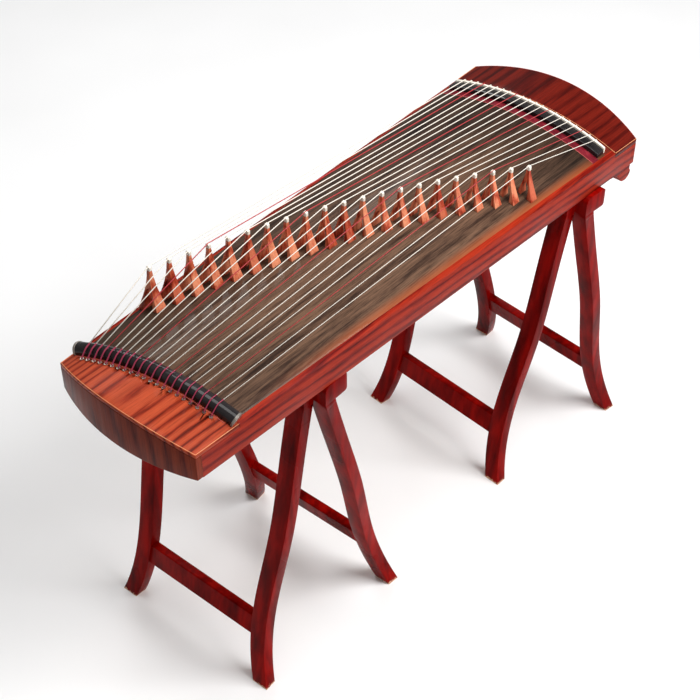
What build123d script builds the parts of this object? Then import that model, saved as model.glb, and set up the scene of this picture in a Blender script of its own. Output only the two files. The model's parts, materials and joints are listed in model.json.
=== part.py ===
from build123d import *

import os
from math import acos, atan2, cos, hypot, pi, sin, sqrt

os.makedirs("parts", exist_ok=True)

# A short 21-string guzheng lying across two folding trestles.
# Millimetres, +Z up, +X towards the tuning box, the player sits on the -Y side.
# The origin is on the floor under the middle of the whole outline.
# The soundbox, strings and bridges are drawn about the soundbox's own middle and then shifted.

# ---- where the parts stand ----
body_shift = (-23.40, -13.73)
trestle_places = {"left": (-280.20, 24.17), "right": (340.00, -1.93)}    # rail's left face, rail's middle
trestle_turns = {"left": 2.0, "right": -3.9}    # degrees that each one stands askew

# ---- soundbox ----
seat_z = 600.0                      # underside of the soundbox, top of the trestle rails
side_height = 48.0
crown = 28.0                        # rise of the arched deck above the side's top edge
tail_x = -488.0                     # corners of the plan outline
head_x = 486.0
tail_half = 132.5
head_half = 166.5
tail_bulge = 26.0                   # how far each end bows out past its corners
head_bulge = 28.0
deck_top = seat_z + side_height + crown
deck_thickness = 6.0
side_thickness = 8.0
end_thickness = 12.0
floor_thickness = 6.0
lid_thickness = 8.0
moving_gap = 0.3                    # air between faces that move apart
on_its_foot = (Align.CENTER, Align.CENTER, Align.MIN)
beyond = 600.0                      # past any end of the soundbox
sound_holes = ((70.0, 48.0, 27.0), (-380.0, 30.0, 18.0))    # place along X, half length, half width
brace_places = (-250.0, 0.0, 250.0)
brace_width = 12.0
brace_height = 12.0
foot_front = 421.0                  # the moulded foot under the tuning box, along X
foot_toe = 464.0
foot_heel = 478.0
foot_low_z = 575.0

# ---- front nut, inlay and tuning box, along X ----
inlay_width = 15.0
inlay_depth = 2.0
nut_front = 392.0
bone_front = 409.0
bone_back = 413.0
seam_x = 427.0
nut_height = 8.0
bone_height = 11.0
nut_half = 152.0
drop_x = 418.0                      # holes where the strings go down into the tuning box
tuning_rows = (442.0, 454.0)
tuning_z = 634.0                    # height where a string meets its tuning pin
tuning_radius = 2.6
tuning_pin_length = 24.0
tuning_key = (3.4, 3.4, 6.0)        # squared top of a tuning pin
shelf_reach = 10.0                  # the shelf runs on past both rows of pins
string_hole_clearance = 0.8
shelf_z = 622.0

# ---- strings and rear bar ----
string_numbers = range(1, 22)       # 1 is the highest, nearest the player
middle_string = 11
red_strings = (3, 8, 13, 18)
tail_pitch = 10.6
head_pitch = 13.4
string_radii = (0.5, 0.8)         # highest string, lowest string
wrap_extra = 0.3                    # silk winding over the string
winding_tail = 6.0
bar_x = -433.0
bar_slant = -0.176
bar_radius = 11.0
bar_lift = 3.0
anchor_offset = -18.0               # string anchors from the rear bar
anchor_clearance = 0.1              # round a winding in its anchor hole
ring_radius = 2.7                   # metal ring on an anchor hole
ring_height = 2.4
string_rest = 0.05                  # air between a string and what it lies on
bar_rest = 1.0                      # the same for the stiff windings over the rear bar

# ---- bridges: highest string, lowest string ----
first_bridge_x = 232.0
bridge_step = 28.2
bridge_heights = (54.0, 76.0)
bridge_feet = (17.0, 22.0)          # thickness along X at the feet
bridge_spreads = (36.0, 48.0)       # width along Y over the feet
bridge_neck = 2.8                   # half the width of the neck along Y
bridge_sunk = -12.0                 # the feet start below the deck and are cut to its curve
cap_height = 6.5
cap_thickness = 4.4
cap_width = 6.4

# ---- trestles ----
rail_width = 47.0
rail_height = 34.0
rail_ends = (-181.0, 133.0)
leg_width = 21.0                    # along X
leg_depth = 30.0                    # along Y
leg_rows = {                        # a leg's middle along Y, at its top and at its foot
    "main_near": (-166.0, -166.0),
    "main_far": (118.0, 148.0),
    "swing_near": (-144.0, -148.0),
    "swing_far": (118.0, 166.0),
}
leg_curve = ((0, 0), (0.2, 3), (0.42, 6), (0.73, 22), (1.0, 0))   # share of the length, bow inwards
leg_top_z = seat_z - rail_height
leg_length = 600.0
main_lean = 16.25                   # degrees from upright
swing_lean = 10.9
stretcher_drop = 467.0              # from the top of a leg, along the leg
stretcher_height = 40.0
stretcher_thickness = 16.0
pivot_x = -4.5                      # from the rail's left face
pivot_z = leg_top_z - 8.0
pivot_radius = 2.5
pivot_clearance = 0.05
rod_inset = 4.0                     # the rod stops short of the legs' outer faces
bracket_places = (-110.0, 85.0)
bracket_arm_x = 9.0
bracket_thickness = 4.0
bracket_plate = (32.0, 18.0, 3.0)


def half_width(x):
    return tail_half + (head_half - tail_half) * (x - tail_x) / (head_x - tail_x)


def deck_z(x, y):
    """Height of the arched deck at a place in the soundbox's plan."""
    radius = (half_width(x) ** 2 + crown**2) / (2 * crown)
    return deck_top - radius + sqrt(radius**2 - y**2)


def graded(ends, n):
    """A size that runs evenly from the highest string to the lowest."""
    return ends[0] + (ends[1] - ends[0]) * (n - 1) / (len(string_numbers) - 1)


def string_radius(n):
    return graded(string_radii, n)


def winding_radius(n):
    return string_radius(n) + wrap_extra


# ---- arched slabs and flat outlines ----


def arched_section(x, low, high):
    reach = half_width(x) + 15
    edge = deck_z(x, reach)
    over = ThreePointArc((x, -reach, edge + high), (x, 0, deck_top + high), (x, reach, edge + high))
    under = ThreePointArc((x, -reach, edge + low), (x, 0, deck_top + low), (x, reach, edge + low))
    return Face(Wire([over, Line(over @ 1, under @ 1), under, Line(under @ 0, over @ 0)]))


def arched_slab(low, high):
    """A slab that follows the deck, between two heights measured from the deck."""
    return loft([arched_section(-beyond, low, high), arched_section(beyond, low, high)], ruled=True)


def outline(inset=0.0, shift=0.0):
    """Plan of the soundbox: two tapering sides and two bowed ends."""
    tail = tail_half - inset
    head = head_half - inset
    left = tail_x + shift
    right = head_x + shift
    near = Line((left, -tail), (right, -head))
    head_end = ThreePointArc((right, -head), (right + head_bulge, 0), (right, head))
    far = Line((right, head), (left, tail))
    tail_end = ThreePointArc((left, tail), (left - tail_bulge, 0), (left, -tail))
    return make_face([near, head_end, far, tail_end])


def strip(x_from, x_to, half=300.0):
    return Pos((x_from + x_to) / 2, 0) * Rectangle(x_to - x_from, 2 * half)


def bar_line(y):
    return bar_x + bar_slant * y


def tail_of_bar():
    reach = 300
    return make_face(
        Polyline((-700, -reach), (bar_line(-reach), -reach), (bar_line(reach), reach), (-700, reach), close=True)
    )


def arched(plan, low, high):
    """The part of an arched slab that lies over a plan."""
    return extrude(Pos(0, 0, 400) * plan, 400) & arched_slab(low, high)


def upright(plan, z_from, high):
    """A wall standing on a plan, from a level floor up to the deck's arch."""
    return extrude(Pos(0, 0, z_from) * plan, 200) & arched_slab(-150, high)


# ---- soundbox ----


def tail_end_plan():
    return outline() - outline(inset=-5, shift=end_thickness)


def head_end_plan():
    return outline() - outline(inset=-5, shift=-end_thickness)


def inner_plan():
    return outline(side_thickness) - tail_end_plan() - head_end_plan()


def inlay_plan():
    return inner_plan() & strip(nut_front - inlay_width, nut_front)


def tail_deck():
    deck = arched(outline() & tail_of_bar(), -deck_thickness, 0)
    for n in string_numbers:
        deck -= Pos(anchor_x(n), anchor_y(n), deck_top) * Cylinder(winding_radius(n) + anchor_clearance, 100)
    return deck


def soundboard():
    board = arched((inner_plan() & strip(-beyond, bone_front)) - tail_of_bar(), -deck_thickness, 0)
    return board - arched(inlay_plan(), -inlay_depth, 5)


def inlay_band():
    return arched(inlay_plan(), -inlay_depth, 0)


def side_panel(side):
    both = outline() - outline(side_thickness) - tail_end_plan() - head_end_plan()
    panel = upright(both & Pos(0, side * 200) * Rectangle(1200, 400), seat_z, 0)
    panel -= arched(tail_of_bar(), -deck_thickness, 5)
    return panel - arched(strip(seam_x, beyond), -lid_thickness - moving_gap, 5)


def tail_end_board():
    return upright(tail_end_plan(), seat_z, -deck_thickness)


def head_end_board():
    return upright(head_end_plan(), seat_z, -lid_thickness - moving_gap)


def bottom_board():
    board = extrude(Pos(0, 0, seat_z) * inner_plan(), floor_thickness)
    for x, half_length, half_breadth in sound_holes:
        board -= Pos(x, 0, seat_z) * extrude(Ellipse(half_length, half_breadth), 20)
    return board


def braces():
    bars = []
    for x in brace_places:
        plan = inner_plan() & strip(x - brace_width / 2, x + brace_width / 2)
        bars.append(arched(plan, -deck_thickness - brace_height, -deck_thickness))
    return Compound(bars)


def tuning_bulkhead():
    plan = inner_plan() & strip(bone_front - 4, bone_back)
    return upright(plan, seat_z + floor_thickness, -deck_thickness)


def nut_deck():
    deck = arched(inner_plan() & strip(bone_front, seam_x - moving_gap), -deck_thickness, 0)
    for n in string_numbers:
        deck -= Pos(drop_x, head_y(n), deck_top) * Cylinder(string_radius(n) + string_hole_clearance, 100)
    return deck


def head_lid():
    return arched(outline() & strip(seam_x, beyond), -lid_thickness, 0)


def head_foot():
    """A moulded foot under the tuning box: a long slope, a rounded toe and a hollow behind it."""
    low = (foot_toe, foot_low_z)
    heel = (foot_heel + 3, foot_low_z + 13)
    front = (foot_front, seat_z)
    back = (foot_heel, seat_z)
    slope = Spline(front, (foot_front + 24, seat_z - 8), low, tangents=[(1, -0.2), (1, -0.1)])
    toe = ThreePointArc(low, (foot_heel - 2, foot_low_z + 3), heel)
    hollow = ThreePointArc(heel, (foot_heel - 0.5, seat_z - 6), back)
    profile = make_face([slope, toe, hollow, Line(back, front)])
    foot = extrude(Plane.XZ * profile, 200, both=True)
    return foot & extrude(Pos(0, 0, 500) * outline(), 200)


def tuning_shelf():
    plan = inner_plan() & strip(tuning_rows[0] - shelf_reach, tuning_rows[1] + shelf_reach)
    shelf = extrude(Pos(0, 0, seat_z + floor_thickness) * plan, shelf_z - seat_z - floor_thickness)
    for n in string_numbers:
        shelf -= Pos(tuning_x(n), head_y(n), shelf_z) * Cylinder(tuning_radius, 20)
    return shelf


def tuning_pins():
    """Round pins with a squared top for the tuning key."""
    pins = []
    for n in string_numbers:
        shank = Cylinder(tuning_radius, tuning_pin_length, align=on_its_foot)
        key = Pos(0, 0, tuning_pin_length) * Box(*tuning_key, align=on_its_foot)
        pins.append(Pos(tuning_x(n), head_y(n), shelf_z - 10) * (shank + key))
    return Compound(pins)


# ---- nuts ----


def front_nut():
    return arched(strip(nut_front, bone_front, nut_half), 0, nut_height)


def front_nut_bone():
    return arched(strip(bone_front, bone_back, nut_half), 0, bone_height)


def bar_end(side):
    """Middle of the rear bar's round section where it meets one side of the soundbox."""
    y = side * (half_width(bar_line(side * tail_half)) - 4)
    x = bar_line(y)
    return Vector(x, y, deck_z(x, y) + bar_lift)


def bar_arc():
    middle = (bar_x, 0, deck_top + bar_lift)
    return ThreePointArc(bar_end(-1), middle, bar_end(1))


def half_round(path, radius):
    """A round bar along a path, cut away below the deck."""
    section = Plane(origin=path @ 0, z_dir=path % 0) * Circle(radius)
    return sweep(section, path=path) - arched_slab(-60, 0)


def rear_nut():
    arc = bar_arc()
    return half_round(arc.trim(0.012, 0.988), bar_radius)


def rear_nut_caps():
    arc = bar_arc()
    ends = (arc.trim(0, 0.012), arc.trim(0.988, 1))
    return Compound([half_round(end, bar_radius + 0.6) for end in ends])


def string_pins():
    """A small ring on the tail deck round each string's anchor hole."""
    rings = []
    for n in string_numbers:
        x, y = anchor_x(n), anchor_y(n)
        ring = Cylinder(ring_radius, ring_height) - Cylinder(winding_radius(n) + anchor_clearance, 10)
        rings.append(Pos(x, y, deck_z(x, y)) * ring - arched_slab(-60, 0))
    return Compound(rings)


# ---- string routes ----


def anchor_y(n):
    return tail_pitch * (n - middle_string)


def anchor_x(n):
    return bar_line(anchor_y(n)) + anchor_offset


def head_y(n):
    return head_pitch * (n - middle_string)


def tuning_x(n):
    return tuning_rows[n % 2]


def string_y(n, x):
    share = (x - anchor_x(n)) / (bone_back - anchor_x(n))
    return anchor_y(n) + (head_y(n) - anchor_y(n)) * share


def bridge_x(n):
    return first_bridge_x - bridge_step * (n - 1)


def bridge_place(n):
    x = bridge_x(n)
    y = string_y(n, x)
    return Vector(x, y, deck_z(x, y))


def bar_turn(n):
    """The arc of a string over the rear bar, between its runs to the anchor and to the bridge."""
    y = string_y(n, bar_line(anchor_y(n)))
    x = bar_line(y)
    centre = Vector(x, y, deck_z(x, y) + bar_lift)
    radius = bar_radius + winding_radius(n) + bar_rest
    angles = []
    for target, side in ((anchor_top(n), -1), (string_peak(n), 1)):
        reach = hypot(target.X - centre.X, target.Z - centre.Z)
        bearing = atan2(target.Z - centre.Z, target.X - centre.X) % (2 * pi)
        angles.append(bearing + side * acos(radius / reach))
    first, last = angles
    turn = [first, (first + last) / 2, last]
    return [centre + Vector(radius * cos(angle), 0, radius * sin(angle)) for angle in turn]


def winding_end(n):
    """Where the silk winding stops and the bare string goes on, just on the bridge side of the bar."""
    leaving = bar_turn(n)[-1]
    return leaving + (string_peak(n) - leaving).normalized() * winding_tail


def anchor_top(n):
    x, y = anchor_x(n), anchor_y(n)
    return Vector(x, y, deck_z(x, y) + ring_height)


def string_peak(n):
    place = bridge_place(n)
    lift = graded(bridge_heights, n) + string_radius(n) + string_rest
    return place + Vector(0, 0, lift)


def front_route(n):
    """Bare string: rear bar, bridge, over the bone strip, down its hole and on to its tuning pin."""
    radius = string_radius(n)
    y = head_y(n)
    bone_z = deck_z(bone_front, y) + bone_height + radius + string_rest
    pin = Vector(tuning_x(n) - tuning_radius - radius, y, tuning_z)
    return [
        winding_end(n),
        string_peak(n),
        Vector(bone_back + 0.5, y, bone_z + 0.2),
        Vector(drop_x, y, bone_z - 7),
        Vector(drop_x, y, deck_z(drop_x, y) - deck_thickness - 4),
        pin,
    ]


def round_section(path, radius):
    return Plane(origin=path @ 0, z_dir=path % 0) * Circle(radius)


def bare_string(n):
    """Straight runs joined by small tangent arcs."""
    path = FilletPolyline(*front_route(n), radius=1.5)
    return sweep(round_section(path, string_radius(n)), path=path)


def string_groove(n):
    path = FilletPolyline(*front_route(n)[:3], radius=1.5)
    return sweep(round_section(path, string_radius(n) + 0.25), path=path)


def winding(n):
    """Silk winding: out of the anchor hole, up and over the rear bar."""
    top = anchor_top(n)
    turn = bar_turn(n)
    rise = FilletPolyline(top - Vector(0, 0, ring_height + deck_thickness), top, turn[0], radius=1.6)
    path = Wire([*rise.edges(), ThreePointArc(*turn), Line(turn[-1], winding_end(n))])
    return sweep(round_section(path, winding_radius(n)), path=path)


def bare_strings(numbers):
    return Compound([bare_string(n) for n in numbers])


def string_wraps():
    return Compound([winding(n) for n in string_numbers])


# ---- bridges ----


def bridge_front(height, spread):
    """Seen along the strings: two curved legs under a narrow neck."""
    foot = spread * 0.29
    half = spread / 2
    arch_top = height * 0.56
    outer = Spline(
        (bridge_neck, height), (bridge_neck + 3, height * 0.6), (half, bridge_sunk), tangents=[(0, -1), (0.35, -1)]
    )
    inner = Spline(
        (half - foot, bridge_sunk), (half * 0.3, height * 0.4), (0, arch_top), tangents=[(-0.3, 1), (-1, 0.4)]
    )
    sole = Line(outer @ 1, inner @ 0)
    middle = Line(inner @ 1, (0, height))
    top = Line((0, height), outer @ 0)
    half_face = make_face([outer, sole, inner, middle, top])
    return half_face + mirror(half_face, Plane.YZ)


def bridge(n):
    """An A-shaped bridge that tapers from thick feet to a thin neck with a bone cap."""
    height = graded(bridge_heights, n)
    foot = graded(bridge_feet, n)
    place = bridge_place(n)
    wood_top = height - cap_height
    across = Plane(origin=place, x_dir=(0, 1, 0), z_dir=(1, 0, 0))
    front = extrude(across * bridge_front(wood_top, graded(bridge_spreads, n)), 20, both=True)
    side = Polyline(
        (-foot / 2, bridge_sunk), (-cap_thickness / 2, wood_top),
        (cap_thickness / 2, wood_top), (foot / 2, bridge_sunk), close=True
    )
    along = Plane(origin=place, x_dir=(1, 0, 0), z_dir=(0, -1, 0))
    wood = front & extrude(along * make_face(side), 40, both=True)
    wood -= arched_slab(-60, moving_gap)
    return Compound([wood, bridge_cap(n, place + Vector(0, 0, wood_top))])


def bridge_cap(n, seat):
    """A bone cap with a groove that its string lies in."""
    cap = Pos(seat) * Box(cap_thickness, cap_width, cap_height + 1.2, align=on_its_foot)
    crest = chamfer(cap.faces().sort_by(Axis.Z)[-1].edges().filter_by(Axis.X), 1.8)
    open_top = Pos(seat.X, seat.Y, seat.Z + cap_height + 2) * Box(30, 2.6, 4)
    return crest - open_top - string_groove(n)


# ---- trestles ----


def leg_plan(row):
    """A leg seen along the soundbox, in its frame's own plane: it bows inwards and flares out at the foot."""
    top, foot = row
    inward = -1 if top > 0 else 1
    middle = [(top + (foot - top) * share + inward * bow, -share * leg_length) for share, bow in leg_curve]
    near = Spline(*[(y - leg_depth / 2, z) for y, z in middle])
    far = Spline(*[(y + leg_depth / 2, z) for y, z in middle])
    return make_face([near, Line(near @ 1, far @ 1), far, Line(far @ 0, near @ 0)])


def leaning(shape, lean, x_face):
    """Lean a shape about the rail's lower left edge; a positive lean carries the foot towards +X."""
    return Pos(x_face, 0, leg_top_z) * Rot(0, -lean, 0) * shape


def below_rail():
    return Pos(0, 0, leg_top_z / 2) * Box(1500, 1500, leg_top_z)


def leaning_leg(row, x_left, x_face, lean):
    """A leg cut level at the rail's underside and at the floor."""
    stub = Pos(x_left + leg_width / 2, row[0], 0) * Box(leg_width, leg_depth, 24)
    blank = Pos(x_left, 0, 0) * extrude(Plane.YZ * leg_plan(row), leg_width)
    return leaning(blank + stub, lean, x_face) & below_rail()


def main_leg(row):
    return leaning_leg(row, 0, 0, main_lean)


def swing_leg(row):
    """A leg whose squared head stands beside the rail and is bored for the pivot rod."""
    leg = leaning_leg(row, -leg_width, -moving_gap, -swing_lean)
    head_height = rail_height - 3
    head = Box(leg_width, leg_depth, head_height)
    leg += Pos(-moving_gap - leg_width / 2, row[0], leg_top_z + head_height / 2) * head
    bore = Pos(pivot_x, row[0], pivot_z) * Rot(90, 0, 0) * Cylinder(pivot_radius + pivot_clearance, 60)
    return leg - bore


def stretcher(legs, x_middle, x_face, lean):
    """The bar low down between two legs, set in the middle of their width and cut to fit them."""
    length = leg_rows["main_far"][1] - leg_rows["main_near"][1]
    bar = Box(stretcher_thickness, length, stretcher_height)
    bar = fillet(bar.edges().filter_by(Axis.Y), 2)
    middle = (leg_rows["main_far"][1] + leg_rows["main_near"][1]) / 2
    bar = leaning(Pos(x_middle, middle, -stretcher_drop) * bar, lean, x_face)
    for leg in legs:
        bar -= leg
    return bar.solids().sort_by(SortBy.VOLUME)[-1]


def rail():
    """The rail under the soundbox, rounded towards the outside, square where the legs meet it."""
    section = Rectangle(rail_width, rail_height)
    section = fillet(section.vertices().group_by(Axis.Y)[-1].sort_by(Axis.X)[0], 12)
    section = fillet(section.vertices().sort_by(Axis.X).group_by(Axis.X)[-1], 5)
    bar = extrude(Plane.XZ * section, (rail_ends[1] - rail_ends[0]) / 2, both=True)
    return Pos(rail_width / 2, sum(rail_ends) / 2, seat_z - rail_height / 2) * bar


def pivot():
    """A steel rod through both swinging legs, held by two brackets under the rail."""
    near = leg_rows["swing_near"][0]
    far = leg_rows["swing_far"][0]
    length = far - near + leg_depth - 2 * rod_inset
    steel = Pos(pivot_x, (near + far) / 2, pivot_z) * Rot(90, 0, 0) * Cylinder(pivot_radius, length)
    plate_width, plate_depth, plate_thickness = bracket_plate
    arm_length = 2 * (bracket_arm_x - pivot_x)
    for y in bracket_places:
        place = Pos(0, y, 0)
        eye = place * Pos(pivot_x, 0, pivot_z) * Rot(90, 0, 0) * Cylinder(2 * pivot_radius, bracket_thickness)
        arm = place * Pos(bracket_arm_x, 0, pivot_z + 2) * Box(arm_length, bracket_thickness, 6)
        plate = place * Pos(20, 0, leg_top_z - plate_thickness / 2) * Box(plate_width, plate_depth, plate_thickness)
        steel += eye + arm + plate
    return steel


def trestle(name):
    """One trestle: the rail's left face is at X 0."""
    main_legs = [main_leg(leg_rows[f"main_{end}"]) for end in ("near", "far")]
    swing_legs = [swing_leg(leg_rows[f"swing_{end}"]) for end in ("near", "far")]
    half = leg_width / 2
    return {
        f"{name}_rail": rail(),
        f"{name}_main_leg_near": main_legs[0],
        f"{name}_main_leg_far": main_legs[1],
        f"{name}_main_stretcher": stretcher(main_legs, half, 0, main_lean),
        f"{name}_swing_leg_near": swing_legs[0],
        f"{name}_swing_leg_far": swing_legs[1],
        f"{name}_swing_stretcher": stretcher(swing_legs, -half, -moving_gap, -swing_lean),
        f"{name}_pivot": pivot(),
    }


# ---- every node ----


def instrument():
    nodes = {
        "soundboard": soundboard(),
        "tail_deck": tail_deck(),
        "tail_end_board": tail_end_board(),
        "head_end_board": head_end_board(),
        "near_side_panel": side_panel(-1),
        "far_side_panel": side_panel(1),
        "bottom_board": bottom_board(),
        "head_foot": head_foot(),
        "braces": braces(),
        "tuning_bulkhead": tuning_bulkhead(),
        "tuning_shelf": tuning_shelf(),
        "tuning_pins": tuning_pins(),
        "nut_deck": nut_deck(),
        "front_nut": front_nut(),
        "front_nut_bone": front_nut_bone(),
        "inlay_band": inlay_band(),
        "rear_nut": rear_nut(),
        "rear_nut_caps": rear_nut_caps(),
        "string_pins": string_pins(),
        "string_wraps": string_wraps(),
        "strings_red": bare_strings(red_strings),
        "strings_white": bare_strings([n for n in string_numbers if n not in red_strings]),
        "head_lid": head_lid(),
    }
    for n in string_numbers:
        nodes[f"bridge_{n:02d}"] = bridge(n)
    return nodes


def main():
    nodes = {name: Pos(*body_shift) * shape for name, shape in instrument().items()}
    for side, place in trestle_places.items():
        stand = Pos(*place) * Rot(0, 0, trestle_turns[side])
        nodes.update({name: stand * shape for name, shape in trestle(f"{side}_trestle").items()})
    for name, shape in nodes.items():
        export_step(shape, f"parts/{name}.step")


main()
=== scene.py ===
"""Looks of a guzheng on two folding trestles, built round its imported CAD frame."""

import json
import math

import bmesh
import bpy
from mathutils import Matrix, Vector

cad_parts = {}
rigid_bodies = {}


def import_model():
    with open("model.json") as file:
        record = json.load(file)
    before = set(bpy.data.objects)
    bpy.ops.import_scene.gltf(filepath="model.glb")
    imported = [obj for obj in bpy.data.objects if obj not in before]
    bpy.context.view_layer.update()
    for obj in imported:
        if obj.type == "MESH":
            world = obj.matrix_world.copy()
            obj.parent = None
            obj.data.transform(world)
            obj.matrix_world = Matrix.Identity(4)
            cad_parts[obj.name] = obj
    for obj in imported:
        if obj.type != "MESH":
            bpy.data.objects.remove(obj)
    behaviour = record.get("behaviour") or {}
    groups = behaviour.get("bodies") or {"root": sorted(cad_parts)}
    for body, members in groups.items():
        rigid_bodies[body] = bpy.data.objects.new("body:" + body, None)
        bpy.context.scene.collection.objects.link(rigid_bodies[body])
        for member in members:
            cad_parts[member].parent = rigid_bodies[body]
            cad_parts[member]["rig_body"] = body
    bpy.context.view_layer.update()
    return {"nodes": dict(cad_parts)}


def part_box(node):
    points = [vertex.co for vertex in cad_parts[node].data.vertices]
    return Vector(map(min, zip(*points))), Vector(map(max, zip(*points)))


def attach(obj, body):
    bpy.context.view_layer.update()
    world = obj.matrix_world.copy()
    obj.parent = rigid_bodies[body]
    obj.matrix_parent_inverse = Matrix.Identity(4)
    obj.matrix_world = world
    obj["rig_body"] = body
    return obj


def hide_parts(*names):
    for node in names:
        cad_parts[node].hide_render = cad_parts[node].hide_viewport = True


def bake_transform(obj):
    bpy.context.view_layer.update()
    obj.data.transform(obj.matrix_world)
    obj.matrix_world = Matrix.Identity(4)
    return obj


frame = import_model()

# The camera, in degrees and metres, with its lens in millimetres.
camera_azimuth = -48.72
camera_elevation = 42.86
camera_distance = 2.480
camera_target = Vector((0.0162, 0.0528, 0.3445))
camera_lens = 75.6
sensor_width = 36

bridge_count = 21
string_count = 21
red_strings = (3, 8, 13, 18)
trestle_sides = ("left", "right")


def edge_half_width(x):
    """Half the soundbox's width at a place along it, from the end boards' own boxes."""
    tail_low, tail_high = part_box("tail_end_board")
    head_low, head_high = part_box("head_end_board")
    tail_half = (tail_high.y - tail_low.y) / 2
    head_half = (head_high.y - head_low.y) / 2
    share = (x - tail_high.x) / (head_low.x - tail_high.x)
    return tail_half + (head_half - tail_half) * share


body_middle_y = (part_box("soundboard")[0].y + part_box("soundboard")[1].y) / 2
deck_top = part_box("soundboard")[1].z
deck_crown = 0.028          # rise of the arched deck above its edges
end_bulge = {"tail_end_board": -0.026, "head_end_board": 0.028}
bar_slant = -0.176          # the rear bar's run along X for each metre along Y
edge_inset = 0.0012         # how far inside the deck's outline its light edge line runs
line_radius = 0.0005
cap_height = 0.0075         # the white top of each bridge


def deck_height(x, y):
    """Height of the arched deck, which is a circular arc across its width."""
    half = edge_half_width(x)
    radius = (half**2 + deck_crown**2) / (2 * deck_crown)
    return deck_top - radius + math.sqrt(radius**2 - (y - body_middle_y) ** 2)


# ---------------------------------------------------------------- materials


class Shader:
    """A material's node tree, with short ways to add and join nodes."""

    def __init__(self, name, roughness, coat=0.0, specular=0.07):
        self.material = bpy.data.materials.new(name)
        self.material.use_nodes = True
        self.tree = self.material.node_tree
        self.surface = self.tree.nodes["Principled BSDF"]
        self.surface.inputs["Roughness"].default_value = roughness
        self.surface.inputs["Coat Weight"].default_value = coat
        self.surface.inputs["Coat Roughness"].default_value = 0.08
        self.surface.inputs["Specular IOR Level"].default_value = specular

    def add(self, kind, **settings):
        node = self.tree.nodes.new("ShaderNode" + kind)
        for key, value in settings.items():
            setattr(node, key, value)
        return node

    def join(self, source, target):
        self.tree.links.new(source, target)

    def place(self, scale=(1, 1, 1), turn=(0, 0, 0), shift=(0, 0, 0)):
        """Object coordinates, scaled, turned (degrees) and shifted."""
        coordinates = self.add("TexCoord")
        mapping = self.add("Mapping")
        mapping.inputs["Scale"].default_value = scale
        mapping.inputs["Rotation"].default_value = [math.radians(a) for a in turn]
        mapping.inputs["Location"].default_value = shift
        self.join(coordinates.outputs["Object"], mapping.inputs["Vector"])
        return mapping.outputs["Vector"]

    def noise(self, vector, scale, detail=4.0, roughness=0.55):
        node = self.add("TexNoise")
        node.inputs["Scale"].default_value = scale
        node.inputs["Detail"].default_value = detail
        node.inputs["Roughness"].default_value = roughness
        self.join(vector, node.inputs["Vector"])
        return node.outputs["Fac"]

    def maths(self, operation, first, second=0.0, clamp=False):
        node = self.add("Math", operation=operation, use_clamp=clamp)
        for socket, value in zip(node.inputs, (first, second)):
            if isinstance(value, (int, float)):
                socket.default_value = value
            else:
                self.join(value, socket)
        return node.outputs["Value"]

    def spread(self, value, low, high, to_low=0.0, to_high=1.0):
        """value between low and high, stretched to to_low .. to_high."""
        node = self.add("MapRange", interpolation_type="SMOOTHSTEP")
        self.join(value, node.inputs["Value"])
        node.inputs["From Min"].default_value = low
        node.inputs["From Max"].default_value = high
        node.inputs["To Min"].default_value = to_low
        node.inputs["To Max"].default_value = to_high
        return node.outputs["Result"]

    def ramp(self, value, *stops):
        """A colour ramp from (position, colour) stops."""
        node = self.add("ValToRGB")
        band = node.color_ramp
        while len(band.elements) < len(stops):
            band.elements.new(0.5)
        for element, (position, colour) in zip(band.elements, stops):
            element.position = position
            element.color = (*colour, 1.0)
        self.join(value, node.inputs["Fac"])
        return node.outputs["Color"]

    def mix(self, share, first, second, blend_type="MIX"):
        node = self.add("Mix", data_type="RGBA", blend_type=blend_type)
        for socket, value in zip((node.inputs[0], node.inputs[6], node.inputs[7]), (share, first, second)):
            if isinstance(value, (int, float)):
                socket.default_value = value
            elif isinstance(value, tuple):
                socket.default_value = (*value, 1.0)
            else:
                self.join(value, socket)
        return node.outputs[2]

    def shaded(self, colour, shade):
        """colour made darker by a grey value."""
        return self.mix(1.0, colour, shade, "MULTIPLY")

    def shaded_red(self, colour):
        """colour pulled towards deep red."""
        return self.mix(1.0, colour, (0.62, 0.26, 0.22), "MULTIPLY")

    def along_axis(self, axis):
        """One of the object coordinates."""
        split = self.add("SeparateXYZ")
        self.join(self.place(), split.inputs["Vector"])
        return split.outputs[axis]

    def colour(self, value):
        if isinstance(value, tuple):
            self.surface.inputs["Base Color"].default_value = (*value, 1.0)
        else:
            self.join(value, self.surface.inputs["Base Color"])

    def roughness(self, value):
        self.join(value, self.surface.inputs["Roughness"])

    def bump(self, height, strength, distance):
        node = self.add("Bump")
        node.inputs["Strength"].default_value = strength
        node.inputs["Distance"].default_value = distance
        self.join(height, node.inputs["Height"])
        self.join(node.outputs["Normal"], self.surface.inputs["Normal"])


def srgb(red, green, blue):
    """A linear colour from its 0-255 screen values."""

    def linear(value):
        value /= 255
        return value / 12.92 if value <= 0.04045 else ((value + 0.055) / 1.055) ** 2.4

    return (linear(red), linear(green), linear(blue))


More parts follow.
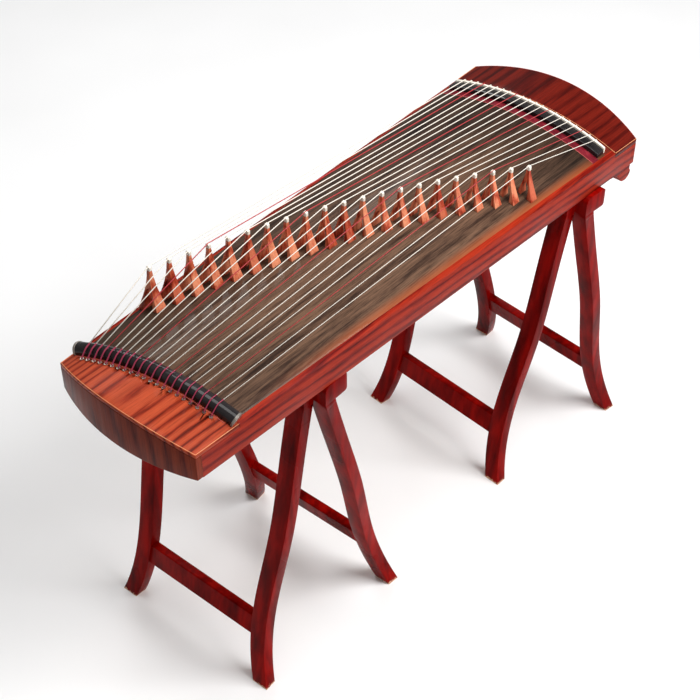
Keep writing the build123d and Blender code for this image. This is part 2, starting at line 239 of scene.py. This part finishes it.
def wood(
    name,
    dark,
    middle,
    light,
    along=(1, 0, 0),
    rings=14.0,
    ring_turn=(0, 0, 3),
    ring_centre=(0.0, 0.0, 0.0),
    streaks=0.5,
    pore_depth=0.35,
    coat=0.35,
    roughness=0.32,
    grain_scale=1.0,
):
    """Sawn, finished wood: growth rings cut at a shallow angle, long streaks and fine pores.

    The grain runs along one axis, so every pattern is stretched along it: rings least, pores most.
    """
    shader = Shader(name, roughness, coat)
    for_rings = [0.13 if axis else 1.0 for axis in along]
    for_streaks = [0.07 if axis else 1.0 for axis in along]
    for_pores = [0.03 if axis else 1.0 for axis in along]

    warp = shader.noise(shader.place(for_streaks, shift=(0.3, 0.1, 0.7)), 8.0, 3.0)
    ring_place = shader.place(for_rings, ring_turn, tuple(-c for c in ring_centre))
    ring = shader.add("TexWave", wave_type="RINGS", rings_direction="X", wave_profile="SIN")
    ring.inputs["Scale"].default_value = rings * grain_scale
    ring.inputs["Distortion"].default_value = 2.6
    ring.inputs["Detail"].default_value = 4.0
    ring.inputs["Detail Scale"].default_value = 2.2
    ring.inputs["Detail Roughness"].default_value = 0.6
    shader.join(ring_place, ring.inputs["Vector"])

    streak = shader.noise(shader.place(for_streaks), 150.0 * grain_scale, 6.0, 0.72)
    pores = shader.noise(shader.place(for_pores), 620.0 * grain_scale, 4.0, 0.7)

    ring_tone = shader.maths("POWER", ring.outputs["Fac"], 0.55)
    tone = shader.maths("MULTIPLY", ring_tone, (1.0 - streaks) * 0.85)
    tone = shader.maths("ADD", tone, shader.maths("MULTIPLY", streak, streaks * 1.3))
    tone = shader.maths("ADD", tone, shader.maths("MULTIPLY", warp, 0.45))
    tone = shader.spread(tone, 0.38, 1.02)
    base = shader.ramp(tone, (0.0, dark), (0.45, middle), (1.0, light))
    shade = shader.spread(pores, 0.34, 0.58, 1.0 - pore_depth, 1.0)
    shader.colour(shader.shaded(base, shade))

    haze = shader.noise(shader.place((1, 1, 1)), 7.0, 3.0)
    shader.roughness(shader.spread(haze, 0.3, 0.7, roughness * 0.8, roughness * 1.25))
    shader.bump(pores, 0.2, 0.0004)
    return shader


def rosewood_top():
    """The red rosewood veneer of the tail deck, with a swirl in its figure."""
    return wood(
        "rosewood_top",
        srgb(84, 24, 14),
        srgb(142, 47, 27),
        srgb(174, 72, 43),
        rings=34.0,
        ring_turn=(0, 9, 4),
        ring_centre=(-0.06, -0.02, 0.62),
        streaks=0.4,
        coat=0.02,
        roughness=0.4,
    ).material


def rosewood_lid():
    """The darker rosewood of the tuning box lid."""
    return wood(
        "rosewood_lid",
        srgb(44, 5, 3),
        srgb(76, 11, 6),
        srgb(106, 24, 13),
        rings=22.0,
        ring_turn=(0, 4, 6),
        ring_centre=(0.05, 0.03, 0.60),
        streaks=0.6,
        coat=0.02,
        roughness=0.4,
    ).material


def rosewood_side():
    """The long side panels: red rosewood with dark and orange streaks."""
    return wood(
        "rosewood_side",
        srgb(52, 4, 2),
        srgb(114, 15, 8),
        srgb(160, 42, 19),
        rings=26.0,
        ring_turn=(4, 3, 2),
        ring_centre=(0.0, -0.30, 0.70),
        streaks=0.6,
        coat=0.0,
        roughness=0.42,
    ).material


def shaded_rosewood_end():
    """The end boards, with the grain running up, painted darker as shade for the tail end that faces away
    from the light.
    """
    return wood(
        "shaded_rosewood_end",
        # Painted shade: darker colours than the side panels', for the tail end that faces away from the
        # light.
        srgb(42, 8, 4),
        srgb(88, 22, 12),
        srgb(124, 46, 25),
        along=(0, 0, 1),
        rings=16.0,
        streaks=0.65,
        coat=0.0,
        roughness=0.42,
    ).material


def nut_wood():
    """The dark red-brown deck beside the front nut."""
    return wood(
        "nut_wood",
        srgb(34, 8, 6),
        srgb(78, 18, 12),
        srgb(118, 38, 24),
        rings=16.0,
        streaks=0.6,
        coat=0.3,
        roughness=0.3,
    ).material


def paulownia_top():
    """The soundboard: brown-grey paulownia, burnt darker at both ends and darker towards the far side, with a
    painted honey-coloured highlight by its near edge.
    """
    shader = wood(
        "paulownia_top",
        srgb(32, 22, 18),
        srgb(64, 46, 37),
        srgb(112, 84, 66),
        rings=46.0,
        ring_turn=(0, 2, 1),
        ring_centre=(0.05, 0.0, 0.45),
        streaks=0.8,
        pore_depth=0.6,
        coat=0.12,
        roughness=0.46,
    )
    base = shader.surface.inputs["Base Color"].links[0].from_socket
    x = shader.along_axis("X")
    y = shader.along_axis("Y")
    tail = shader.spread(x, -0.46, -0.20, 0.35, 0.0)
    head = shader.spread(x, 0.12, 0.36, 0.0, 1.0)
    # The ends are burnt darker; the board is also made darker towards the far side.
    far = shader.spread(y, -0.03, 0.12, 0.0, 0.65)
    patchy = shader.noise(shader.place((0.2, 1, 1)), 11.0, 3.0)
    darker_share = shader.maths("ADD", shader.maths("ADD", tail, head), far, clamp=True)
    darker_share = shader.maths("MULTIPLY", darker_share, shader.spread(patchy, 0.2, 0.8, 0.75, 1.0), clamp=True)
    darkened = shader.mix(darker_share, base, shader.shaded(base, shader.spread(patchy, 0.2, 0.8, 0.22, 0.34)))

    low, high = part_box("soundboard")
    slant = (edge_half_width(high.x) - edge_half_width(low.x)) / (high.x - low.x)
    edge_y = shader.maths("ADD", shader.maths("MULTIPLY", x, -slant), body_middle_y - edge_half_width(0.0))
    from_edge = shader.maths("SUBTRACT", y, edge_y)
    # Painted highlight: a honey-orange band along the near edge, full for 7 mm and fading out by 24 mm, kept
    # away from both ends.
    edge_highlight_fade = shader.spread(from_edge, 0.007, 0.024, 1.0, 0.0)
    past_tail = shader.spread(x, -0.42, -0.15)
    before_head = shader.spread(x, 0.30, 0.42, 1.0, 0.0)
    highlight_middle_share = shader.maths("MULTIPLY", past_tail, before_head)
    painted_highlight_share = shader.maths("MULTIPLY", shader.maths("MULTIPLY", edge_highlight_fade, highlight_middle_share), 0.75)
    with_painted_highlight = shader.mix(painted_highlight_share, darkened, srgb(160, 80, 42))
    shader.colour(with_painted_highlight)
    return shader.material


def bridge_wood():
    """The movable bridges: salmon-coloured hardwood, each a little different in tone."""
    shader = wood(
        "bridge_wood",
        srgb(112, 34, 20),
        srgb(194, 86, 58),
        srgb(234, 150, 112),
        along=(0, 0, 1),
        rings=30.0,
        ring_turn=(5, 0, 12),
        streaks=0.6,
        pore_depth=0.2,
        coat=0.12,
        roughness=0.42,
        grain_scale=1.6,
    )
    base = shader.surface.inputs["Base Color"].links[0].from_socket
    chance = shader.add("ObjectInfo").outputs["Random"]
    redder = shader.mix(shader.spread(chance, 0.35, 1.0, 0.0, 0.75), base, shader.shaded_red(base))
    shader.colour(redder)
    return shader.material


def red_lacquer():
    """Glossy mahogany-red lacquer over faint grain, worn through at the foot bottoms."""
    shader = Shader("red_lacquer", 0.3, coat=0.0, specular=0.03)
    grain = shader.noise(shader.place((1, 1, 0.07)), 60.0, 4.0)
    cloud = shader.noise(shader.place((1, 1, 0.5)), 9.0, 2.0)
    tone = shader.maths("ADD", shader.maths("MULTIPLY", grain, 0.6), shader.maths("MULTIPLY", cloud, 0.4))
    red = shader.ramp(
        shader.spread(tone, 0.3, 0.7),
        (0.0, srgb(68, 1, 1)),
        (0.55, srgb(120, 4, 2)),
        (1.0, srgb(154, 12, 5)),
    )
    chips = shader.noise(shader.place(), 210.0, 5.0, 0.7)
    height = shader.spread(shader.along_axis("Z"), 0.0, 0.012, 0.24, -0.30)
    worn = shader.spread(shader.maths("ADD", chips, height), 0.64, 0.70)
    shader.colour(shader.mix(worn, red, srgb(206, 160, 132)))
    haze = shader.spread(cloud, 0.3, 0.7, 0.24, 0.38)
    shader.roughness(shader.maths("ADD", haze, shader.maths("MULTIPLY", worn, 0.4)))
    shader.bump(cloud, 0.12, 0.002)
    return shader.material


def black_horn():
    """Polished black horn of the nut and the rear bar, faintly streaked."""
    shader = Shader("black_horn", 0.22, coat=0.5)
    streak = shader.noise(shader.place((1, 0.08, 1)), 60.0, 4.0)
    shader.colour(shader.ramp(streak, (0.3, srgb(18, 16, 17)), (0.7, srgb(46, 42, 43))))
    shader.roughness(shader.spread(streak, 0.3, 0.7, 0.18, 0.34))
    shader.bump(streak, 0.1, 0.0005)
    return shader.material


def grey_horn():
    """The paler, polished end caps of the rear bar."""
    shader = Shader("grey_horn", 0.3, coat=0.4)
    streak = shader.noise(shader.place((1, 1, 0.15)), 120.0, 4.0)
    shader.colour(shader.ramp(streak, (0.3, srgb(84, 78, 74)), (0.7, srgb(150, 143, 134))))
    shader.roughness(shader.spread(streak, 0.3, 0.7, 0.22, 0.4))
    shader.bump(streak, 0.1, 0.0005)
    return shader.material


def bone():
    """White bone with a faint cream grain."""
    shader = Shader("bone", 0.3, coat=0.3)
    grain = shader.noise(shader.place((1, 0.1, 1)), 140.0, 4.0)
    shader.colour(shader.ramp(grain, (0.3, srgb(226, 216, 196)), (0.7, srgb(250, 246, 238))))
    shader.roughness(shader.spread(grain, 0.3, 0.7, 0.24, 0.4))
    shader.bump(grain, 0.08, 0.0003)
    return shader.material


def maroon_inlay():
    """The maroon band let into the soundboard, flecked, with a pale pink edge line drawn by its own piece."""
    shader = Shader("maroon_inlay", 0.28, coat=0.5)
    fleck = shader.noise(shader.place((1, 0.3, 1)), 130.0, 4.0)
    cloud = shader.noise(shader.place(), 24.0, 2.0)
    base = shader.ramp(fleck, (0.3, srgb(84, 16, 26)), (0.6, srgb(124, 30, 42)), (0.8, srgb(150, 60, 66)))
    shader.colour(shader.mix(shader.spread(cloud, 0.4, 0.7, 0.0, 0.35), base, srgb(70, 14, 24)))
    shader.roughness(shader.spread(cloud, 0.3, 0.7, 0.22, 0.36))
    shader.bump(fleck, 0.08, 0.0003)
    return shader.material


def edge_line(name, colour):
    """A thin light line along an edge, flecked like wood: the pink ones are inlaid lines, the pale ones
    painted edge highlights.
    """
    shader = Shader(name, 0.35, coat=0.3)
    fleck = shader.noise(shader.place((0.2, 0.2, 1)), 300.0, 3.0)
    darker = tuple(value * 0.7 for value in colour)
    shader.colour(shader.ramp(fleck, (0.3, darker), (0.6, colour)))
    shader.roughness(shader.spread(fleck, 0.3, 0.7, 0.3, 0.45))
    shader.bump(fleck, 0.08, 0.0002)
    return shader.material


def metal(name, colour, roughness):
    """Turned or rolled metal with fine scratches and dull patches."""
    shader = Shader(name, roughness)
    shader.surface.inputs["Metallic"].default_value = 1.0
    patch = shader.noise(shader.place(), 160.0, 4.0)
    scratch = shader.noise(shader.place((0.1, 1, 1)), 900.0, 2.0)
    darker = tuple(value * 0.6 for value in colour)
    shader.colour(shader.ramp(patch, (0.3, darker), (0.65, colour)))
    shader.roughness(shader.spread(patch, 0.3, 0.7, roughness * 0.7, roughness * 1.5))
    shader.bump(scratch, 0.1, 0.0002)
    return shader.material


def wound(name, colour, pitch, groove_shade_share=0.55):
    """Thread or wire wound round a string that runs along X: fine turns across it, with painted shade in the
    grooves between them.
    """
    shader = Shader(name, 0.42, coat=0.15)
    turns = shader.add("TexWave", wave_type="BANDS", bands_direction="X", wave_profile="SIN")
    turns.inputs["Scale"].default_value = 0.314 / pitch
    shader.join(shader.place(), turns.inputs["Vector"])
    fuzz = shader.noise(shader.place(), 700.0, 3.0)
    # Painted shade: the grooves between the turns are darker, down to this share of the colour.
    dark = tuple(value * groove_shade_share for value in colour)
    ridges = shader.maths("MULTIPLY", turns.outputs["Fac"], 0.7)
    tone = shader.maths("ADD", ridges, shader.maths("MULTIPLY", fuzz, 0.3))
    shader.colour(shader.ramp(tone, (0.1, dark), (0.6, colour)))
    shader.roughness(shader.spread(fuzz, 0.3, 0.7, 0.32, 0.55))
    shader.bump(turns.outputs["Fac"], 0.5, 0.0002)
    return shader.material


def plain_wood_underside():
    """The unfinished paulownia of the bottom board and the inner parts."""
    return wood(
        "bottom_wood",
        srgb(120, 84, 56),
        srgb(168, 128, 92),
        srgb(200, 164, 124),
        rings=18.0,
        streaks=0.55,
        coat=0.1,
        roughness=0.5,
    ).material


# ------------------------------------------------------------ shaped pieces


def copy_of(node, name):
    """A new piece with the shape of a CAD node, its seams welded."""
    piece = bpy.data.objects.new(name, frame["nodes"][node].data.copy())
    bpy.context.scene.collection.objects.link(piece)
    mesh = bmesh.new()
    mesh.from_mesh(piece.data)
    bmesh.ops.remove_doubles(mesh, verts=mesh.verts, dist=1e-6)
    mesh.to_mesh(piece.data)
    mesh.free()
    piece.data.update()
    return piece


def paint(piece, material):
    piece.data.materials.clear()
    piece.data.materials.append(material)


def soften(piece, width):
    """Rounds the piece's sharp edges a little, so that they catch the light."""
    bevel = piece.modifiers.new("soft_edges", "BEVEL")
    bevel.width = width
    bevel.segments = 3
    bevel.limit_method = "ANGLE"
    bevel.angle_limit = math.radians(32)
    bevel.use_clamp_overlap = True
    bevel.harden_normals = True
    for face in piece.data.polygons:
        face.use_smooth = True


def finished_part(node, material, width):
    """The CAD node as a finished piece: the same outside, with softened edges."""
    piece = copy_of(node, node + "_finished")
    paint(piece, material)
    soften(piece, width)
    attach(piece, frame["nodes"][node]["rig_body"])
    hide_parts(node)
    return piece


def keep_part(node, material):
    """The CAD node itself, shown with this material."""
    paint(frame["nodes"][node], material)


def split_strings(node):
    """The loose strings of a CAD node, as new one-string objects, from the player's side outwards."""
    whole = copy_of(node, node + "_whole")
    bpy.ops.object.select_all(action="DESELECT")
    bpy.context.view_layer.objects.active = whole
    whole.select_set(True)
    bpy.ops.object.mode_set(mode="EDIT")
    bpy.ops.mesh.select_all(action="SELECT")
    bpy.ops.mesh.separate(type="LOOSE")
    bpy.ops.object.mode_set(mode="OBJECT")
    strings = list(bpy.context.selected_objects)
    bpy.ops.object.select_all(action="DESELECT")
    return sorted(strings, key=lambda s: sum(v.co.y for v in s.data.vertices) / len(s.data.vertices))


def cut_at(piece, x, keep_tail, name):
    """A copy of piece with only its part on one side of x."""
    part = bpy.data.objects.new(name, piece.data.copy())
    bpy.context.scene.collection.objects.link(part)
    mesh = bmesh.new()
    mesh.from_mesh(part.data)
    bmesh.ops.bisect_plane(
        mesh,
        geom=mesh.verts[:] + mesh.edges[:] + mesh.faces[:],
        plane_co=(x, 0, 0),
        plane_no=(1, 0, 0),
        clear_outer=keep_tail,
        clear_inner=not keep_tail,
    )
    mesh.to_mesh(part.data)
    mesh.free()
    for face in part.data.polygons:
        face.use_smooth = True
    return part


def bending_strings(materials):
    """Each string cut in two halves at the middle of its own bridge."""
    found = {"strings_white": split_strings("strings_white"), "strings_red": split_strings("strings_red")}
    owners = {
        "strings_white": [n for n in range(1, string_count + 1) if n not in red_strings],
        "strings_red": list(red_strings),
    }
    for node, strings in found.items():
        for number, string in zip(owners[node], strings):
            bridge = f"bridge_{number:02d}"
            low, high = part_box(bridge)
            middle = (low + high) / 2
            tail_half = cut_at(string, middle.x, True, f"string_{number:02d}_tail")
            head_half = cut_at(string, middle.x, False, f"string_{number:02d}_head")
            for half in (tail_half, head_half):
                paint(half, materials[node])
            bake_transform(tail_half)
            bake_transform(head_half)
            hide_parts(node)
            bpy.data.objects.remove(string)


def wire(name, points, radius, material, body):
    """A thin round line through these points, riding on a body."""
    curve = bpy.data.curves.new(name, "CURVE")
    curve.dimensions = "3D"
    curve.bevel_depth = radius
    curve.bevel_resolution = 1
    curve.use_fill_caps = True
    line = curve.splines.new("POLY")
    line.points.add(len(points) - 1)
    for point, place in zip(line.points, points):
        point.co = (*place, 1.0)
    piece = bpy.data.objects.new(name, curve)
    bpy.context.scene.collection.objects.link(piece)
    curve.materials.append(material)
    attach(piece, body)


def deck_line(name, plan, radius, material, body):
    """A line lying on the arched deck, over these (x, y) places."""
    points = [(x, y, deck_height(x, y)) for x, y in plan]
    return wire(name, points, radius, material, body)


def end_arc(board, inset, steps=36):
    """Places along a bowed end of the soundbox, just inside its edge."""
    low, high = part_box(board)
    bulge = end_bulge[board]
    tip = low.x if bulge < 0 else high.x
    corner = tip - bulge
    half = edge_half_width(corner) - inset
    radius = (half**2 + bulge**2) / (2 * abs(bulge))
    outward = math.copysign(1, bulge)
    places = []
    for step in range(steps + 1):
        y = -half + 2 * half * step / steps
        reach = math.sqrt(radius**2 - y**2) - (radius - abs(bulge))
        places.append((corner + outward * (reach - inset), body_middle_y + y))
    return places


def across(x, half, slant=0.0, steps=30):
    """Places on a straight line across the deck, which may run aslant."""
    ys = [-half + 2 * half * step / steps for step in range(steps + 1)]
    return [(x + slant * y, body_middle_y + y) for y in ys]


def lengthways(x_from, x_to, side, inset, steps=12):
    """Places along one side edge of the deck."""
    xs = [x_from + (x_to - x_from) * step / steps for step in range(steps + 1)]
    return [(x, body_middle_y + side * (edge_half_width(x) - inset)) for x in xs]


def edge_lines():
    """Thin light lines: pale painted edge highlights round the tail deck and along the lid's sides and seam,
    pink lines round the lid's end, beside the inlay and behind the rear bar.
    """
    # Painted highlight: the pale lines stand for the light caught by the deck's and lid's edges.
    pale = edge_line("painted_edge_highlight", srgb(226, 150, 104))
    pink = edge_line("pink_line", srgb(196, 96, 88))
    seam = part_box("head_lid")[0].x
    bar_low, bar_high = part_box("rear_nut")
    bar_x = (bar_low.x + bar_high.x) / 2
    bar_end = 0.13 * bar_slant      # how far the bar's ends lie from its middle, along X
    tail = end_arc("tail_end_board", edge_inset)
    head = end_arc("head_end_board", edge_inset)
    deck_line("tail_edge_line", tail, line_radius, pale, "instrument")
    deck_line("lid_edge_line", head, 0.0004, pink, "lid")
    lid_seam = across(seam + edge_inset, edge_half_width(seam) - 0.002)
    deck_line("lid_seam_line", lid_seam, line_radius, pale, "lid")
    for side, name in ((-1, "near"), (1, "far")):
        tail_run = lengthways(tail[0][0], bar_x + side * bar_end, side, edge_inset)
        deck_line(f"tail_{name}_line", tail_run, line_radius, pale, "instrument")
        lid_run = lengthways(seam + edge_inset, head[0][0], side, edge_inset)
        deck_line(f"lid_{name}_line", lid_run, line_radius, pale, "lid")
    inlay_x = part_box("inlay_band")[0].x
    inlay_edge = across(inlay_x, edge_half_width(inlay_x) - 0.010)
    deck_line("inlay_line", inlay_edge, line_radius, pink, "instrument")
    behind_bar = across(bar_x - 0.0132, edge_half_width(bar_x) - 0.012, bar_slant)
    deck_line("bar_line", behind_bar, line_radius, pink, "instrument")


def pin_coils(material):
    """The few turns of string round each tuning pin."""
    turns = 3
    steps = 14
    coil_start = -0.0075
    coil_pitch = 0.0011
    islands = split_strings("tuning_pins")
    for number, pin in enumerate(islands, 1):
        xs = [v.co.x for v in pin.data.vertices]
        ys = [v.co.y for v in pin.data.vertices]
        zs = [v.co.z for v in pin.data.vertices]
        centre = Vector(((min(xs) + max(xs)) / 2, (min(ys) + max(ys)) / 2, max(zs)))
        radius = (max(ys) - min(ys)) / 2 + 0.0005
        points = []
        for step in range(turns * steps + 1):
            angle = 2 * math.pi * step / steps
            height = coil_start + coil_pitch * step / steps
            points.append(centre + Vector((radius * math.cos(angle), radius * math.sin(angle), height)))
        wire(f"pin_coil_{number:02d}", points, 0.00045, material, "instrument")
        bpy.data.objects.remove(pin)


# ------------------------------------------------------------------- studio


def aimed(azimuth, elevation, distance, target):
    """Where something stands that looks at target from this direction, and its rotation."""
    a, e = math.radians(azimuth), math.radians(elevation)
    back = Vector((math.sin(a) * math.cos(e), -math.cos(a) * math.cos(e), math.sin(e)))
    return target + back * distance, (-back).to_track_quat("-Z", "Y")


def add_camera():
    camera = bpy.data.objects.new("camera", bpy.data.cameras.new("camera"))
    bpy.context.scene.collection.objects.link(camera)
    camera.data.lens = camera_lens
    camera.data.sensor_width = sensor_width
    camera.rotation_mode = "QUATERNION"
    camera.location, camera.rotation_quaternion = aimed(
        camera_azimuth, camera_elevation, camera_distance, camera_target
    )
    bpy.context.scene.camera = camera


def add_light(name, azimuth, elevation, distance, size, power):
    light = bpy.data.lights.new(name, "AREA")
    light.shape = "RECTANGLE"
    light.size, light.size_y = size
    light.energy = power
    lamp = bpy.data.objects.new(name, light)
    lamp.rotation_mode = "QUATERNION"
    lamp.location, lamp.rotation_quaternion = aimed(azimuth, elevation, distance, Vector((0, 0, 0.4)))
    bpy.context.scene.collection.objects.link(lamp)


def add_studio():
    """A pale floor, a white surround and soft lamps."""
    bpy.ops.mesh.primitive_plane_add(size=14)
    floor = bpy.context.object
    floor.name = "floor"
    shader = Shader("pale_floor", 0.75)
    patch = shader.noise(shader.place(), 2.0, 2.0)
    shader.colour(shader.ramp(patch, (0.3, (0.90, 0.90, 0.90)), (0.7, (0.94, 0.94, 0.94))))
    floor.data.materials.append(shader.material)

    world = bpy.data.worlds.new("studio")
    world.use_nodes = True
    world.node_tree.nodes["Background"].inputs["Color"].default_value = (1, 1, 1, 1)
    world.node_tree.nodes["Background"].inputs["Strength"].default_value = 0.22
    bpy.context.scene.world = world

    add_light("key_light", 22, 50, 3.4, (2.0, 1.6), 120)
    add_light("top_light", -60, 84, 3.4, (2.4, 2.0), 60)
    add_light("back_light", 150, 40, 3.6, (2.2, 0.7), 26)
    bpy.context.scene.view_settings.view_transform = "Standard"


# -------------------------------------------------------------------- looks


def dress_instrument():
    top = rosewood_top()
    side = rosewood_side()
    end = shaded_rosewood_end()
    horn = black_horn()
    white_bone = bone()
    inner = plain_wood_underside()
    steel_pins = metal("pin_metal", srgb(196, 190, 178), 0.28)
    silk = wound("silk_red", srgb(158, 58, 82), 0.0009)

    finished_part("tail_deck", top, 0.0012)
    finished_part("head_lid", rosewood_lid(), 0.0012)
    finished_part("soundboard", paulownia_top(), 0.0006)
    finished_part("near_side_panel", side, 0.0010)
    finished_part("far_side_panel", side, 0.0010)
    finished_part("tail_end_board", end, 0.0016)
    finished_part("head_end_board", side, 0.0016)
    finished_part("nut_deck", nut_wood(), 0.0008)
    finished_part("front_nut", horn, 0.0012)
    finished_part("front_nut_bone", white_bone, 0.0008)
    finished_part("rear_nut_caps", grey_horn(), 0.0014)
    keep_part("rear_nut", horn)
    keep_part("inlay_band", maroon_inlay())
    keep_part("bottom_board", inner)
    keep_part("braces", inner)
    finished_part("head_foot", side, 0.0012)
    keep_part("tuning_bulkhead", end)
    keep_part("tuning_shelf", nut_wood())
    keep_part("tuning_pins", steel_pins)
    keep_part("string_pins", steel_pins)
    keep_part("string_wraps", silk)
    white = wound("string_white", srgb(246, 238, 226), 0.0006, 0.8)
    red = wound("string_red", srgb(190, 70, 74), 0.0006, 0.7)
    bending_strings({"strings_white": white, "strings_red": red})
    pin_coils(white)
    edge_lines()


def dress_bridges():
    material = bridge_wood()
    cap = bone()
    for number in range(1, bridge_count + 1):
        node = f"bridge_{number:02d}"
        piece = finished_part(node, material, 0.0009)
        piece.data.materials.append(cap)
        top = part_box(node)[1].z
        for face in piece.data.polygons:
            if face.center.z > top - cap_height:
                face.material_index = 1


def dress_trestles():
    lacquer = red_lacquer()
    steel = metal("hinge_steel", srgb(150, 148, 146), 0.35)
    frames = [f"{kind}_{part}" for kind in ("main", "swing") for part in ("leg_near", "leg_far", "stretcher")]
    for side in trestle_sides:
        for part in ["rail"] + frames:
            finished_part(f"{side}_trestle_{part}", lacquer, 0.0022)
        keep_part(f"{side}_trestle_pivot", steel)


dress_instrument()
dress_bridges()
dress_trestles()
add_studio()
add_camera()
